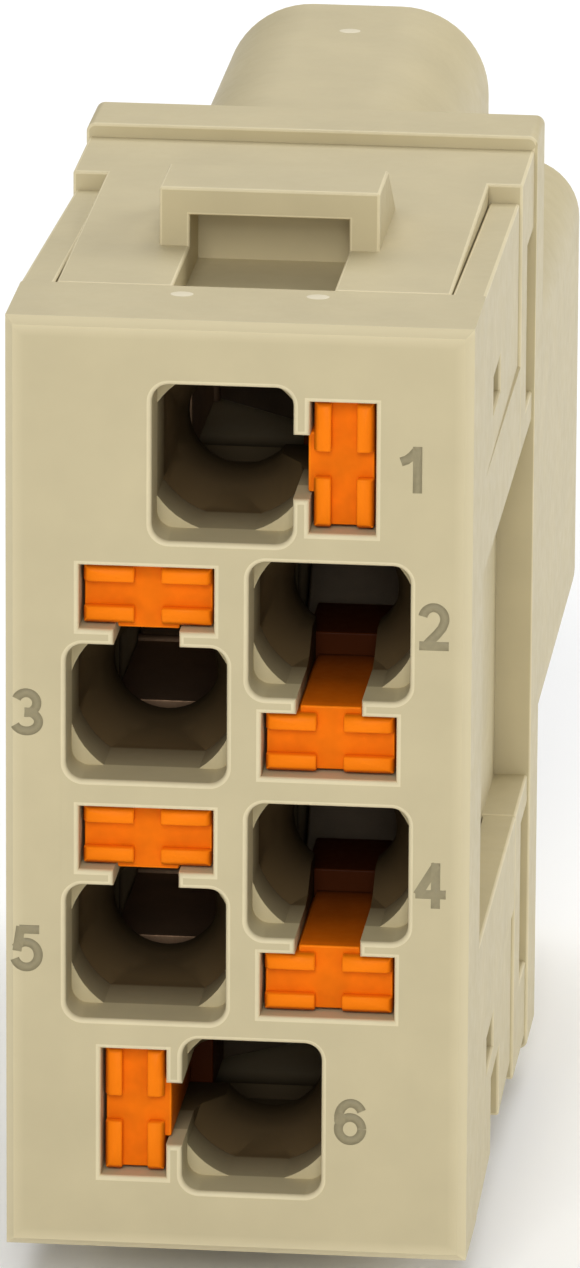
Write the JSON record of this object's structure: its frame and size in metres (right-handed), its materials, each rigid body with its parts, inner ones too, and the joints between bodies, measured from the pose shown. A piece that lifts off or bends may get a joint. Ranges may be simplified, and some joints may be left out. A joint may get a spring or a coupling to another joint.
{
  "type": "push-in terminal module",
  "caption": "Rectangular push-in contact module: wire entries with orange release pushers on a beige terminal face, latching lugs, a flange and a mating block with pin sockets.",
  "frame": {"origin": "centre of the terminal face", "axes": "+Y from the terminal face to the mating block, +Z towards the end with pole 1, +X to the right as the terminal face is looked at"},
  "size_m": [0.0148, 0.0404, 0.0342],
  "materials": {
    "housing": "fine moulded satin",
    "pusher": "moulded",
    "spring": "bright strip",
    "current_bar": "tinned copper strip",
    "contact": "turned"
  },
  "bodies": {
    "housing": {"front_cap": "housing", "contact_carrier": "housing", "clamp_spring_1": "spring", "clamp_spring_2": "spring", "clamp_spring_3": "spring", "clamp_spring_4": "spring", "clamp_spring_5": "spring", "clamp_spring_6": "spring", "current_bar_1": "current_bar", "current_bar_2": "current_bar", "current_bar_3": "current_bar", "current_bar_4": "current_bar", "current_bar_5": "current_bar", "current_bar_6": "current_bar", "socket_contact_1": "contact", "socket_contact_2": "contact", "socket_contact_3": "contact", "socket_contact_4": "contact", "socket_contact_5": "contact", "socket_contact_6": "contact"},
    "pusher_1": {"pusher_1": "pusher"},
    "pusher_2": {"pusher_2": "pusher"},
    "pusher_3": {"pusher_3": "pusher"},
    "pusher_4": {"pusher_4": "pusher"},
    "pusher_5": {"pusher_5": "pusher"},
    "pusher_6": {"pusher_6": "pusher"}
  },
  "joints": [
    {"name": "push_1", "type": "slide", "parent": "housing", "child": "pusher_1", "axis": [0, 1, 0], "range_m": [0, 0.0012], "stiffness_N_per_m": 2000, "deforming": ["clamp_spring_1"]},
    {"name": "push_2", "type": "slide", "parent": "housing", "child": "pusher_2", "axis": [0, 1, 0], "range_m": [0, 0.0012], "stiffness_N_per_m": 2000, "deforming": ["clamp_spring_2"]},
    {"name": "push_3", "type": "slide", "parent": "housing", "child": "pusher_3", "axis": [0, 1, 0], "range_m": [0, 0.0012], "stiffness_N_per_m": 2000, "deforming": ["clamp_spring_3"]},
    {"name": "push_4", "type": "slide", "parent": "housing", "child": "pusher_4", "axis": [0, 1, 0], "range_m": [0, 0.0012], "stiffness_N_per_m": 2000, "deforming": ["clamp_spring_4"]},
    {"name": "push_5", "type": "slide", "parent": "housing", "child": "pusher_5", "axis": [0, 1, 0], "range_m": [0, 0.0012], "stiffness_N_per_m": 2000, "deforming": ["clamp_spring_5"]},
    {"name": "push_6", "type": "slide", "parent": "housing", "child": "pusher_6", "axis": [0, 1, 0], "range_m": [0, 0.0012], "stiffness_N_per_m": 2000, "deforming": ["clamp_spring_6"]}
  ]
}
